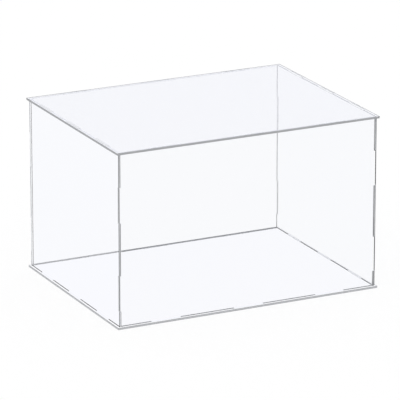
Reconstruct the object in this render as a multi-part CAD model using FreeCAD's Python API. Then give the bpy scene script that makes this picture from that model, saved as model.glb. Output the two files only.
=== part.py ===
import FreeCAD, Part
import os

# A clear acrylic box that comes flat: six laser-cut sheets that plug together.
# Millimetres, +Z up. The origin is the centre of the base's underside,
# +X runs along the wide front wall and +Y runs from the front to the back.

# Overall size
box_width = 400.0        # lid and base, left to right
box_depth = 300.0        # lid and base, front to back
box_height = 250.0       # underside of the base to the top of the lid
sheet_thickness = 3.0    # all six sheets
plate_overhang = 3.0     # lid and base past the outside of the walls

# Tabs along the top and bottom edges of the walls, which enter the lid and base
tabs_per_edge = 3
wide_tab_length = 45.0   # front and back walls
wide_tab_margin = 48.5   # end of the wall to its first tab
deep_tab_length = 40.0   # left and right walls
deep_tab_margin = 35.0

# Fingers of the front and back walls at the upright corners
fingers_per_corner = 2
finger_length = 50.0
finger_foot = 22.0       # top of the base to the lowest finger
finger_head = 47.0       # highest finger to the underside of the lid

# Fits
slot_clearance = 0.15    # all round a tab in its slot
finger_clearance = 0.1   # all round a finger in its notch
cut_overrun = 1.0        # how far a cut runs past the face that it opens

# Sizes that follow from those above
wall_width = box_width - 2 * plate_overhang
wall_depth = box_depth - 2 * plate_overhang
wall_foot = sheet_thickness
wall_head = box_height - sheet_thickness
wall_height = wall_head - wall_foot


def block(low, high):
    """A box between two opposite corners."""
    size = high - low
    return Part.makeBox(size.x, size.y, size.z, low)


def spread(start, end, length, count):
    """The (low, high) ends of equal lengths spread evenly from start to end."""
    step = (end - start - length) / (count - 1)
    lows = [start + step * place for place in range(count)]
    return [(low, low + length) for low in lows]


def tab_spans(wall_length, tab_length, tab_margin):
    """Where the tabs of one wall lie along it, measured from its middle."""
    reach = wall_length / 2 - tab_margin
    return spread(-reach, reach, tab_length, tabs_per_edge)


wide_tabs = tab_spans(wall_width, wide_tab_length, wide_tab_margin)
deep_tabs = tab_spans(wall_depth, deep_tab_length, deep_tab_margin)
lowest_finger = wall_foot + finger_foot
highest_finger = wall_head - finger_head
finger_spans = spread(lowest_finger, highest_finger, finger_length, fingers_per_corner)


def sheet_faces(outer_face, side):
    """The lower and upper face of an upright sheet whose outside is outer_face from the middle."""
    faces = [side * outer_face, side * (outer_face - sheet_thickness)]
    return min(faces), max(faces)


def wide_wall(side):
    """Front (-1) or back (+1) wall: tabs up and down, fingers out to both corners."""
    near, far = sheet_faces(wall_depth / 2, side)
    inner_reach = wall_width / 2 - sheet_thickness - finger_clearance
    corner_reach = wall_width / 2
    web = block(FreeCAD.Vector(-inner_reach, near, wall_foot), FreeCAD.Vector(inner_reach, far, wall_head))
    tabs = [
        block(FreeCAD.Vector(low, near, 0), FreeCAD.Vector(high, far, box_height))
        for low, high in wide_tabs
    ]
    fingers = [
        block(FreeCAD.Vector(-corner_reach, near, low), FreeCAD.Vector(corner_reach, far, high))
        for low, high in finger_spans
    ]
    return web.multiFuse(tabs + fingers).removeSplitter()


def deep_wall(side):
    """Left (-1) or right (+1) wall: tabs up and down, corner notches for the wide walls' fingers."""
    near, far = sheet_faces(wall_width / 2, side)
    reach = wall_depth / 2
    notch_floor = reach - sheet_thickness - finger_clearance
    web = block(FreeCAD.Vector(near, -reach, wall_foot), FreeCAD.Vector(far, reach, wall_head))
    tabs = [
        block(FreeCAD.Vector(near, low, 0), FreeCAD.Vector(far, high, box_height))
        for low, high in deep_tabs
    ]
    notches = []
    for low, high in finger_spans:
        foot = low - finger_clearance
        head = high + finger_clearance
        for start, end in ((-reach - cut_overrun, -notch_floor), (notch_floor, reach + cut_overrun)):
            notches.append(block(
                FreeCAD.Vector(near - cut_overrun, start, foot),
                FreeCAD.Vector(far + cut_overrun, end, head),
            ))
    return web.multiFuse(tabs).cut(notches).removeSplitter()


def slotted_plate(underside):
    """Base or lid: a plain sheet with one slot for each tab of the four walls."""
    foot = underside - cut_overrun
    head = underside + sheet_thickness + cut_overrun
    plate = block(
        FreeCAD.Vector(-box_width / 2, -box_depth / 2, underside),
        FreeCAD.Vector(box_width / 2, box_depth / 2, underside + sheet_thickness),
    )
    slots = []
    for side in (-1, 1):
        near, far = sheet_faces(wall_depth / 2, side)
        for low, high in wide_tabs:
            slots.append(block(
                FreeCAD.Vector(low - slot_clearance, near - slot_clearance, foot),
                FreeCAD.Vector(high + slot_clearance, far + slot_clearance, head),
            ))
        near, far = sheet_faces(wall_width / 2, side)
        for low, high in deep_tabs:
            slots.append(block(
                FreeCAD.Vector(near - slot_clearance, low - slot_clearance, foot),
                FreeCAD.Vector(far + slot_clearance, high + slot_clearance, head),
            ))
    return plate.cut(slots)


panels = {
    "base_panel": slotted_plate(0),
    "lid_panel": slotted_plate(wall_head),
    "front_panel": wide_wall(-1),
    "back_panel": wide_wall(1),
    "left_panel": deep_wall(-1),
    "right_panel": deep_wall(1),
}

os.makedirs("parts", exist_ok=True)
for node, shape in panels.items():
    shape.exportStep("parts/" + node + ".step")
    print(node, "valid", shape.isValid(), "solids", len(shape.Solids), "volume", round(shape.Volume, 1))
print("wall height", wall_height, "volume of all", round(sum(shape.Volume for shape in panels.values()), 1))
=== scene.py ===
import math
import bmesh
import bpy
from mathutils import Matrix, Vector


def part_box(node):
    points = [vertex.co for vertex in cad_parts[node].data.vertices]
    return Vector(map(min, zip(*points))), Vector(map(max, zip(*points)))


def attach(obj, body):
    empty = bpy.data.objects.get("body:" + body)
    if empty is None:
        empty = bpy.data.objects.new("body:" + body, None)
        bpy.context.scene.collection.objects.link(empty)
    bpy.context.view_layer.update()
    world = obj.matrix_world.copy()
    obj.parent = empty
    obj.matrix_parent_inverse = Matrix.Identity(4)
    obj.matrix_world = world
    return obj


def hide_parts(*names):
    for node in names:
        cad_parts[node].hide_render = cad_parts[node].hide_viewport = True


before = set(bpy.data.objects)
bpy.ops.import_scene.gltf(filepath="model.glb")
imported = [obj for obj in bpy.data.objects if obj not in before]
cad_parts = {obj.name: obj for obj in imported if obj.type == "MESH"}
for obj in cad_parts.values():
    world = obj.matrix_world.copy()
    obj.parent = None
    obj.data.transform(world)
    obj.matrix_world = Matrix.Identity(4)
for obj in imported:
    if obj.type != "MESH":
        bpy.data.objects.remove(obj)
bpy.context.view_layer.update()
scene = bpy.context.scene
print("frame loaded:", ", ".join(sorted(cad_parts)))

mm = 0.001


# A socket that can stand in a sum: each operator adds one Math node.
class Wire:
    def __init__(self, board, socket):
        self.board = board
        self.socket = socket

    def sum(self, operation, first, second):
        return self.board.add("ShaderNodeMath", {"operation": operation}, {0: first, 1: second})["Value"]

    def __add__(self, other):
        return self.sum("ADD", self, other)

    def __sub__(self, other):
        return self.sum("SUBTRACT", self, other)

    def __rsub__(self, other):
        return self.sum("SUBTRACT", other, self)

    def __mul__(self, other):
        return self.sum("MULTIPLY", self, other)

    def __truediv__(self, other):
        return self.sum("DIVIDE", self, other)

    def magnitude(self):
        return self.board.add("ShaderNodeMath", {"operation": "ABSOLUTE"}, {0: self})["Value"]

    __radd__ = __add__
    __rmul__ = __mul__


# A node tree: add() makes any node, with its settings first and then its sockets.
class Board:
    def __init__(self, owner):
        owner.use_nodes = True
        self.tree = owner.node_tree
        self.tree.nodes.clear()

    def add(self, kind, settings=None, sockets=None):
        node = self.tree.nodes.new(kind)
        for name, value in (settings or {}).items():
            if name == "stops":
                self.setStops(node.color_ramp, value)
            else:
                setattr(node, name, value)
        inputs = [socket for socket in node.inputs if socket.enabled]
        for key, value in (sockets or {}).items():
            socket = inputs[key] if isinstance(key, int) else next(s for s in inputs if s.name == key)
            if isinstance(value, Wire):
                self.tree.links.new(value.socket, socket)
            else:
                socket.default_value = value
        return {s.name: Wire(self, s) for s in node.outputs if s.enabled}

    def setStops(self, ramp, stops):
        while len(ramp.elements) < len(stops):
            ramp.elements.new(0.5)
        for element, (place, tone) in zip(ramp.elements, stops):
            element.position = place
            element.color = (tone, tone, tone, 1)

    # lamps shine through with a tint, so a clear sheet casts no block of shadow
    def finish(self, shader, lampTint):
        lamps = self.add("ShaderNodeLightPath")["Is Shadow Ray"]
        through = self.add("ShaderNodeBsdfTransparent", sockets={"Color": lampTint})["BSDF"]
        mixed = self.add("ShaderNodeMixShader", sockets={0: lamps, 1: shader, 2: through})
        self.add("ShaderNodeOutputMaterial", sockets={"Surface": mixed["Shader"]})


acrylic = {
    "ior": 1.49,
    "cloud": 0.004,                         # how far the tint of a sheet wanders
    "cloudSize": 0.22,                      # metres between slightly different tints
    "cloudDetail": 2.0,
    "markScale": 55.0,                      # handling marks in a metre
    "markDetail": 4.0,
    "markBreakup": 0.7,
    "markStops": [(0.55, 0), (0.8, 1)],     # where a mark begins and where it is full
    "haze": 0.004,                          # roughness of the sheet
    "hazeMarks": 0.02,                      # roughness that a mark adds
    "lampTint": (0.985, 0.99, 1.0, 1),
}


# tint is what one sheet lets through: the acrylic's faint blue, with painted shade and reflection set sheet
# by sheet
def clearFinish(name, tintAndShade):
    material = bpy.data.materials.new(name)
    board = Board(material)
    place = board.add("ShaderNodeTexCoord")["Object"]
    cloud = board.add("ShaderNodeTexNoise", sockets={
        "Vector": place, "Scale": 1 / acrylic["cloudSize"], "Detail": acrylic["cloudDetail"]})["Fac"]
    marks = board.add("ShaderNodeTexNoise", sockets={
        "Vector": place,
        "Scale": acrylic["markScale"],
        "Detail": acrylic["markDetail"],
        "Roughness": acrylic["markBreakup"]})["Fac"]
    smear = board.add("ShaderNodeValToRGB", {"stops": acrylic["markStops"]}, {"Fac": marks})["Color"]
    denser = tuple(part - acrylic["cloud"] for part in tintAndShade)
    colour = board.add("ShaderNodeMix", {"data_type": "RGBA"}, {
        "Factor": cloud, "A": denser + (1,), "B": tintAndShade + (1,)})["Result"]
    shader = board.add("ShaderNodeBsdfPrincipled", sockets={
        "Base Color": colour,
        "Roughness": smear * acrylic["hazeMarks"] + acrylic["haze"],
        "IOR": acrylic["ior"],
        "Transmission Weight": 1.0})["BSDF"]
    board.finish(shader, acrylic["lampTint"])
    return material


cutEdge = {
    "pitch": 0.45 * mm,                     # between the laser's strokes
    "across": 0.05,                         # strokes run across the sheet and hardly change that way
    "detail": 3.0,
    "contrast": 0.5,                        # of the strokes, as a share of the tone
    "bumpStrength": 0.3,
    "bumpDepth": 0.05 * mm,
    "roughness": 0.3,
    "strokeRoughness": 0.3,                 # that the strokes add
    "white": (0.95, 0.965, 1.0, 1),         # the colour of an edge of tone 1
    "lampTint": (0.8, 0.81, 0.83, 1),
    "sidesFrom": 0.35,                      # the painted shade along the sides of a cut, in half thicknesses from its middle
    "sidesTo": 0.65,
}


def even(tone):
    return dict.fromkeys(("middle", "shadedSides", "through"), tone)


# tones are painted light and shade: the middle and the darker sides of the cut seen from outside, and all
# of it seen through the sheet
def cutEdgeShadeAndStrokes(name, tones, thinAxis, middle, half):
    material = bpy.data.materials.new(name)
    board = Board(material)
    place = board.add("ShaderNodeTexCoord")["Object"]
    stretch = [1.0, 1.0, 1.0]
    stretch[thinAxis] = cutEdge["across"]
    grain = board.add("ShaderNodeVectorMath", {"operation": "MULTIPLY"}, {0: place, 1: stretch})["Vector"]
    strokes = board.add("ShaderNodeTexNoise", sockets={
        "Vector": grain, "Scale": 1 / cutEdge["pitch"], "Detail": cutEdge["detail"]})["Fac"]
    level = board.add("ShaderNodeSeparateXYZ", sockets={0: place})["XYZ"[thinAxis]]
    shadedSides = board.add("ShaderNodeMapRange", {"interpolation_type": "SMOOTHSTEP"}, {
        "Value": (level - middle).magnitude() / half,
        "From Min": cutEdge["sidesFrom"], "From Max": cutEdge["sidesTo"]})["Result"]
    # painted shade: Backfacing swaps in another tone where the cut is seen from inside the sheet
    through = board.add("ShaderNodeNewGeometry")["Backfacing"]
    outside = shadedSides * (tones["shadedSides"] - tones["middle"]) + tones["middle"]
    tone = outside * (1 - through) + through * tones["through"]
    # the laser strokes are the edge's own texture, laid over the painted tone
    stroked = tone * (strokes * cutEdge["contrast"] + (1 - cutEdge["contrast"] / 2))
    colour = board.add("ShaderNodeMix", {"data_type": "RGBA"}, {
        "Factor": stroked, "A": (0, 0, 0, 1), "B": cutEdge["white"]})["Result"]
    bump = board.add("ShaderNodeBump", sockets={
        "Strength": cutEdge["bumpStrength"], "Distance": cutEdge["bumpDepth"], "Height": strokes})["Normal"]
    shader = board.add("ShaderNodeBsdfPrincipled", sockets={
        "Base Color": colour,
        "Roughness": strokes * cutEdge["strokeRoughness"] + cutEdge["roughness"],
        "Specular IOR Level": 0.0,
        "Normal": bump})["BSDF"]
    board.finish(shader, cutEdge["lampTint"])
    return material


sheetCut = {
    "hairline": 0.02 * mm,                  # every face stands this far inside the CAD face
    "arris": 0.3 * mm,
    "sharpAngle": 45.0,                     # degrees between faces that an arris breaks
    "rowsToFinger": 3,                      # rows of cells below a wall's lowest finger
    "lead": 1.0,                            # metres before the sheet where its test lines start
}


# The sheet's outline as cells: a cell is solid where a line through it meets the CAD sheet.
def sheetCells(node, spec):
    thinAxis = spec["thinAxis"]
    flat = [axis for axis in range(3) if axis != thinAxis]
    breaks = [sorted({round(v.co[axis], 6) for v in node.data.vertices}) for axis in flat]
    # painted shade: extra rows and columns of cells for dark strips on the broad faces
    if spec["isWall"]:
        breaks[1].insert(2, breaks[1][1] + spec["footShadeStrip"])
    if "seamShadeStrips" in spec:
        breaks[0].insert(2, breaks[0][1] + spec["seamShadeStrips"][0])
        breaks[0].insert(-2, breaks[0][-2] - spec["seamShadeStrips"][1])
    if "lowShadeStrip" in spec:
        breaks[0].insert(1, breaks[0][0] + spec["lowShadeStrip"])
    if "highShadeStrip" in spec:
        breaks[0].insert(-1, breaks[0][-1] - spec["highShadeStrip"])
    low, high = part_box(node.name)
    start = Vector(low)
    start[thinAxis] = low[thinAxis] - sheetCut["lead"]
    way = Vector((0, 0, 0))
    way[thinAxis] = 1.0
    solid = set()
    for i in range(len(breaks[0]) - 1):
        for j in range(len(breaks[1]) - 1):
            start[flat[0]] = (breaks[0][i] + breaks[0][i + 1]) / 2
            start[flat[1]] = (breaks[1][j] + breaks[1][j + 1]) / 2
            if node.ray_cast(start, way)[0]:
                solid.add((i, j))
    return flat, breaks, solid


# What a narrow face is. One that the sheet's dictionary gives no tone is clear, as in a close joint.
# A longSlot is for the front or back wall. lowWeb and highWeb are the faces set back at a wall's two
# ends: beside its fingers or in its notches.
def edgeRole(spec, side, i, j, last):
    onRim = ((side == 0 and j == 0) or (side == 1 and i + 1 == last[0])
             or (side == 2 and j + 1 == last[1]) or (side == 3 and i == 0))
    if not spec["isWall"]:
        if onRim:
            return "edge"
        slotRow = j + (side == 2) - (side == 0)
        return "longSlot" if slotRow in (1, last[1] - 2) else "slot"
    if side == 0:
        return "tip" if onRim else "foot" if j == 1 else "finger"
    if side == 2:
        return "tip" if onRim else "head" if j + 2 == last[1] else "finger"
    if j == 0 or j + 1 == last[1]:
        return "tab"
    fromEnd = last[0] - i - 1 if side == 1 else i
    if fromEnd == 0:
        return "lowEdge" if j < sheetCut["rowsToFinger"] else "edge"
    return "highWeb" if side == 1 else "lowWeb"


# What an arris is, from the faces along its length. Here too, one without a tone is clear.
def arrisRole(beside):
    if "foot" in beside:
        return "foot"
    if beside & {"edge", "lowEdge"}:
        return "arris"
    return "corner" if "highWeb" in beside else "clear"


def makeSheet(spec):
    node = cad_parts[spec["node"]]
    thinAxis = spec["thinAxis"]
    flat, breaks, solid = sheetCells(node, spec)
    last = [len(b) - 1 for b in breaks]
    # painted shade: the end and seam columns of the broad faces carry dark strip tones
    ends = {0: "lowEnd", last[0] - 1: "highEnd"}
    seams = {1: "lowSeam", last[0] - 2: "highSeam"}
    shadeStrips = [ends | seams, ends]           # by column, on the low face and on the high one
    low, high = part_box(spec["node"])
    roles = ["clear"] + list(spec["tones"])
    arris = roles.index("arris")

    def slotOf(role):
        return roles.index(role if role in roles else "clear")

    mesh = bmesh.new()
    corners = {}

    def corner(i, j, level):
        if (i, j, level) not in corners:
            place = Vector((0, 0, 0))
            place[flat[0]] = breaks[0][i]
            place[flat[1]] = breaks[1][j]
            place[thinAxis] = (low, high)[level][thinAxis]
            corners[i, j, level] = mesh.verts.new(place)
        return corners[i, j, level]

    for i, j in sorted(solid):
        ring = [(i, j), (i + 1, j), (i + 1, j + 1), (i, j + 1)]
        beside = [(i, j - 1), (i + 1, j), (i, j + 1), (i - 1, j)]
        # painted shade: the broad faces just above the foot carry the dark foot tone
        onFoot = spec["isWall"] and j == 1 and (spec["footUnbroken"] or (i, 0) not in solid)
        for level in (0, 1):
            face = mesh.faces.new([corner(*spot, level) for spot in ring])
            face.material_index = slotOf("foot" if onFoot else shadeStrips[level].get(i, "clear"))
        for side in range(4):
            if beside[side] not in solid:
                a, b = ring[side], ring[(side + 1) % 4]
                face = mesh.faces.new([corner(*a, 0), corner(*b, 0), corner(*b, 1), corner(*a, 1)])
                face.material_index = slotOf(edgeRole(spec, side, i, j, last))
    bmesh.ops.recalc_face_normals(mesh, faces=mesh.faces)
    for vert in mesh.verts:
        ways = {tuple(round(part) for part in face.normal) for face in vert.link_faces}
        for way in ways:
            vert.co -= Vector(way) * sheetCut["hairline"]
    sharpest = math.radians(sheetCut["sharpAngle"])
    sharp = [edge for edge in mesh.edges if edge.calc_face_angle(0) > sharpest]
    bmesh.ops.bevel(mesh, geom=sharp, offset=sheetCut["arris"], segments=1, affect="EDGES", material=arris)
    for face in mesh.faces:
        if face.material_index == arris:
            longest = max(edge.calc_length() for edge in face.edges)
            along = [edge for edge in face.edges if edge.calc_length() > longest / 2]
            beside = {roles[other.material_index] for edge in along for other in edge.link_faces}
            face.material_index = slotOf(arrisRole(beside))
    bmesh.ops.recalc_face_normals(mesh, faces=mesh.faces)
    data = bpy.data.meshes.new(spec["name"])
    mesh.to_mesh(data)
    mesh.free()
    piece = bpy.data.objects.new(spec["name"], data)
    scene.collection.objects.link(piece)
    data.materials.append(clearFinish(spec["name"] + "_clear", spec["tintAndShade"]))
    middle = (low[thinAxis] + high[thinAxis]) / 2
    half = (high[thinAxis] - low[thinAxis]) / 2
    for role, tones in spec["tones"].items():
        data.materials.append(cutEdgeShadeAndStrokes(spec["name"] + "_" + role, tones, thinAxis, middle, half))
    piece.visible_glossy = False            # the sheets mirror the studio and not each other
    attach(piece, spec["body"])
    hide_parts(spec["node"])
    print("sheet made:", spec["name"], len(data.polygons), "faces")
    return piece


# The tones in each sheet's table are painted light and shade: the same cut edge is set darker or lighter,
# role by role and wall by wall, by how light falls on it.
baseSheet = {
    "name": "base_sheet", "node": "base_panel", "body": "box", "thinAxis": 2, "isWall": False,
    "tintAndShade": (1.0, 1.0, 1.0),
    "tones": {"edge": {"middle": 0.52, "shadedSides": 0.52, "through": 0.8}, "arris": even(0.3)},
}
makeSheet(baseSheet)

frontWall = {
    "name": "front_wall", "node": "front_panel", "body": "box", "thinAxis": 1, "isWall": True,
    "tintAndShade": (0.973, 0.977, 0.988),
    "footShadeStrip": 0.8 * mm, "footUnbroken": False,       # a painted shade strip between the tabs, just above the foot
    "lowShadeStrip": 1.8 * mm, "highShadeStrip": 0.6 * mm,        # and painted shade strips at the ends of the left and right fingers
    "tones": {"edge": {"middle": 0.7, "shadedSides": 0.6, "through": 0.03}, "arris": even(0.05),
              "lowEnd": even(0.4), "highEnd": even(0.05),
              "foot": even(0.42), "head": even(0.7), "tip": even(0.97),
              "lowWeb": even(0.05), "highWeb": even(0.45)},
}
makeSheet(frontWall)

backWall = {
    "name": "back_wall", "node": "back_panel", "body": "box", "thinAxis": 1, "isWall": True,
    "tintAndShade": (0.973, 0.977, 0.988),
    "footShadeStrip": 1.8 * mm, "footUnbroken": True,        # the painted shade strip runs over the tabs too
    "seamShadeStrips": (1.2 * mm, 0.8 * mm),                 # and painted shade strips inside, along the left and right walls
    "tones": {"edge": {"middle": 0.9, "shadedSides": 0.65, "through": 0.25}, "arris": even(0.3),
              "foot": even(0.38), "head": even(0.68), "tip": even(1.0),
              "highWeb": even(0.08), "corner": even(0.1),
              "lowSeam": even(0.03), "highSeam": even(0.5)},
}
makeSheet(backWall)

leftWall = {
    "name": "left_wall", "node": "left_panel", "body": "box", "thinAxis": 0, "isWall": True,
    "tintAndShade": (0.966, 0.972, 1.0),
    "footShadeStrip": 0.8 * mm, "footUnbroken": False,
    "highShadeStrip": 1.0 * mm,                              # a painted shade strip at the back end
    "tones": {"edge": {"middle": 0.58, "shadedSides": 0.15, "through": 0.95}, "arris": even(0.12),
              "lowEdge": {"middle": 0.85, "shadedSides": 0.03, "through": 0.95},
              "foot": even(0.03), "head": even(0.84), "tip": even(0.78), "highEnd": even(0.52)},
}
makeSheet(leftWall)

rightWall = {
    "name": "right_wall", "node": "right_panel", "body": "box", "thinAxis": 0, "isWall": True,
    "tintAndShade": (0.968, 0.974, 0.990),
    "footShadeStrip": 0.8 * mm, "footUnbroken": False,
    "tones": {"edge": {"middle": 0.58, "shadedSides": 0.01, "through": 0.2}, "arris": even(0.02),
              "lowEdge": {"middle": 0.45, "shadedSides": 0.0, "through": 0.2},
              "foot": even(0.03), "head": even(0.46), "tip": even(0.92), "highWeb": even(0.03)},
}
makeSheet(rightWall)

lidSheet = {
    "name": "lid_sheet", "node": "lid_panel", "body": "lid", "thinAxis": 2, "isWall": False,
    "tintAndShade": (0.962, 0.966, 0.968),
    "tones": {"edge": {"middle": 0.41, "shadedSides": 0.41, "through": 0.52},
              "arris": even(0.25), "slot": even(0.6), "longSlot": even(1.0)},
}
makeSheet(lidSheet)

studioFloor = {
    "size": 80.0,
    "drop": 0.1 * mm,
    "colour": (0.93, 0.93, 0.93, 1),
    "glowShare": 0.8,                       # of white in what the camera sees; the sheets see white alone
}


def makeFloor():
    half = studioFloor["size"] / 2
    data = bpy.data.meshes.new("studio_floor")
    spots = [(-half, -half), (half, -half), (half, half), (-half, half)]
    data.from_pydata([(x, y, -studioFloor["drop"]) for x, y in spots], [], [(0, 1, 2, 3)])
    floor = bpy.data.objects.new("studio_floor", data)
    scene.collection.objects.link(floor)
    material = bpy.data.materials.new("studio_floor")
    board = Board(material)
    path = board.add("ShaderNodeLightPath")
    sheetsSee = path["Is Glossy Ray"] + path["Is Transmission Ray"]
    seen = path["Is Camera Ray"] * studioFloor["glowShare"] + sheetsSee
    paper = board.add("ShaderNodeBsdfDiffuse", sockets={"Color": studioFloor["colour"]})["BSDF"]
    glow = board.add("ShaderNodeEmission", sockets={"Color": (1, 1, 1, 1), "Strength": 1.0})["Emission"]
    both = board.add("ShaderNodeMixShader", sockets={0: seen, 1: paper, 2: glow})
    board.add("ShaderNodeOutputMaterial", sockets={"Surface": both["Shader"]})
    data.materials.append(material)


makeFloor()

studioLight = {
    "ambient": 0.70,                        # from all round, on the floor and the cut edges
    "mirrored": (0.915, 0.922, 1.0, 1),     # what the sheets mirror from above
    "aboveFrom": 0.05,                      # how high that begins, as the height of a direction of length 1
    "aboveTo": 0.25,
    "lampPlace": (-1.2, -0.9, 2.6),
    "lampAngle": 40.0,
    "lampStrength": 1.4,
}


def makeLight():
    world = bpy.data.worlds.new("studio")
    scene.world = world
    board = Board(world)
    path = board.add("ShaderNodeLightPath")
    seen = board.add("ShaderNodeClamp", sockets={
        "Value": path["Is Camera Ray"] + path["Is Glossy Ray"] + path["Is Transmission Ray"]})["Result"]
    way = board.add("ShaderNodeTexCoord")["Generated"]
    height = board.add("ShaderNodeSeparateXYZ", sockets={0: way})["Z"]
    above = board.add("ShaderNodeMapRange", {"interpolation_type": "SMOOTHSTEP"}, {
        "Value": height,
        "From Min": studioLight["aboveFrom"],
        "From Max": studioLight["aboveTo"]})["Result"]
    tone = board.add("ShaderNodeMix", {"data_type": "RGBA"}, {
        "Factor": above * path["Is Glossy Ray"], "A": (1, 1, 1, 1), "B": studioLight["mirrored"]})["Result"]
    strength = seen * (1 - studioLight["ambient"]) + studioLight["ambient"]
    sky = board.add("ShaderNodeBackground", sockets={"Color": tone, "Strength": strength})
    board.add("ShaderNodeOutputWorld", sockets={"Surface": sky["Background"]})

    data = bpy.data.lights.new("soft_lamp", "SUN")
    data.energy = studioLight["lampStrength"]
    data.angle = math.radians(studioLight["lampAngle"])
    lamp = bpy.data.objects.new("soft_lamp", data)
    lamp.location = studioLight["lampPlace"]
    lamp.rotation_euler = (-Vector(studioLight["lampPlace"])).to_track_quat("-Z", "Y").to_euler()
    lamp.visible_glossy = False
    lamp.visible_transmission = False
    scene.collection.objects.link(lamp)


makeLight()

photoCamera = {
    "azimuth": -26.29,                      # degrees, from straight in front towards the right
    "elevation": 17.62,
    "distance": 5.39,
    "lens": 344.1,
    "aimRight": -2.2 * mm,                  # from the middle of the base, along the picture
    "aimUp": 108.9 * mm,
    "sensor": 36.0,
    "clipEnd": 200.0,
}


def makeCamera():
    turn = math.radians(photoCamera["azimuth"])
    tilt = math.radians(photoCamera["elevation"])
    back = Vector((math.sin(turn) * math.cos(tilt), -math.cos(turn) * math.cos(tilt), math.sin(tilt)))
    right = Vector((math.cos(turn), math.sin(turn), 0))
    up = back.cross(right)
    data = bpy.data.cameras.new("photo_camera")
    data.lens = photoCamera["lens"]
    data.sensor_width = photoCamera["sensor"]
    data.clip_end = photoCamera["clipEnd"]
    camera = bpy.data.objects.new("photo_camera", data)
    aim = right * photoCamera["aimRight"] + up * photoCamera["aimUp"]
    camera.location = aim + back * photoCamera["distance"]
    camera.rotation_euler = (-back).to_track_quat("-Z", "Y").to_euler()
    scene.collection.objects.link(camera)
    scene.camera = camera


makeCamera()
scene.view_settings.view_transform = "Standard"
print("stage, light and camera made")
